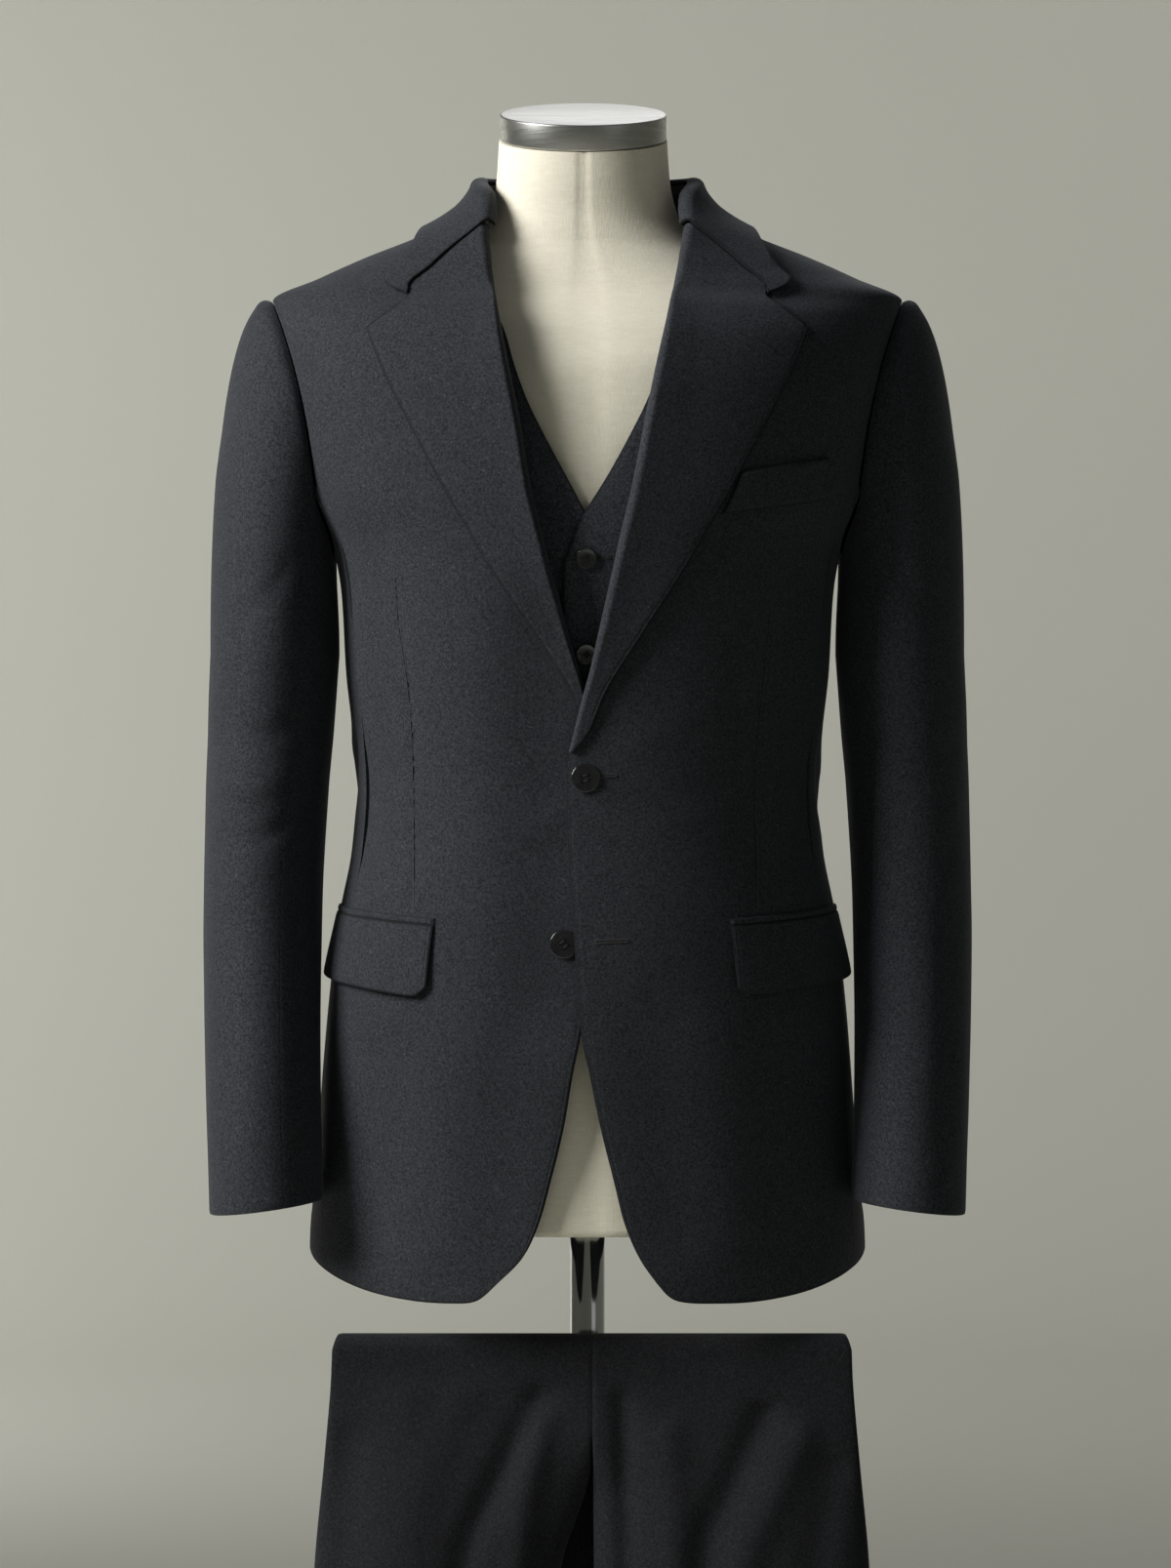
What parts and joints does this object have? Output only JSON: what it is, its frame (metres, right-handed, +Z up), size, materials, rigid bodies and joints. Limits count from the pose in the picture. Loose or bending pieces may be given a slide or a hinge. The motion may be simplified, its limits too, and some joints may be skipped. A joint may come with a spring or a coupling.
{
  "type": "three-piece suit on a dress form",
  "caption": "Single-breasted three-piece suit in dark wool on a limbless dress form with pole stand, its trousers folded over a bar below.",
  "frame": {"origin": "on the floor under the axis of the pole, at the middle of the base plate's underside", "axes": "+Z up along the pole, -Y towards the front of the suit, +X to the wearer's left"},
  "size_m": [0.5338, 0.38, 1.7914],
  "materials": {
    "suit_wool": "fine charcoal worsted wool with a faint melange",
    "form_canvas": "cream cotton canvas",
    "brushed_steel": "brushed and clear coated",
    "chrome": "polished",
    "button_horn": "dark polished horn"
  },
  "bodies": {
    "root": {"bar_bracket": "chrome", "bar_clamp": "chrome", "base_plate": "brushed_steel", "breast_welt": "suit_wool", "collar_leaf": "suit_wool", "collar_stand": "suit_wool", "cuff_button_left_1": "button_horn", "cuff_button_left_2": "button_horn", "cuff_button_left_3": "button_horn", "cuff_button_left_4": "button_horn", "cuff_button_right_1": "button_horn", "cuff_button_right_2": "button_horn", "cuff_button_right_3": "button_horn", "cuff_button_right_4": "button_horn", "flap_left": "suit_wool", "flap_right": "suit_wool", "fly_front": "suit_wool", "form_torso": "form_canvas", "jacket_back_left": "suit_wool", "jacket_back_right": "suit_wool", "jacket_button_low": "button_horn", "jacket_button_top": "button_horn", "jacket_front_left": "suit_wool", "jacket_front_right": "suit_wool", "jacket_side_left": "suit_wool", "jacket_side_right": "suit_wool", "jetting_left": "suit_wool", "jetting_right": "suit_wool", "lapel_left": "suit_wool", "lapel_right": "suit_wool", "neck_cap": "brushed_steel", "pole": "chrome", "pole_boss": "chrome", "sleeve_top_left": "suit_wool", "sleeve_top_right": "suit_wool", "sleeve_under_left": "suit_wool", "sleeve_under_low_left": "suit_wool", "sleeve_under_low_right": "suit_wool", "sleeve_under_right": "suit_wool", "trouser_back_left": "suit_wool", "trouser_back_right": "suit_wool", "trouser_bar": "chrome", "trouser_front_left": "suit_wool", "trouser_front_right": "suit_wool", "waistband_back_left": "suit_wool", "waistband_back_right": "suit_wool", "waistband_front_left": "suit_wool", "waistband_front_right": "suit_wool", "waistcoat_back": "suit_wool", "waistcoat_button_1": "button_horn", "waistcoat_button_2": "button_horn", "waistcoat_button_3": "button_horn", "waistcoat_button_4": "button_horn", "waistcoat_button_5": "button_horn", "waistcoat_front_left": "suit_wool", "waistcoat_front_right": "suit_wool"}
  },
  "joints": []
}
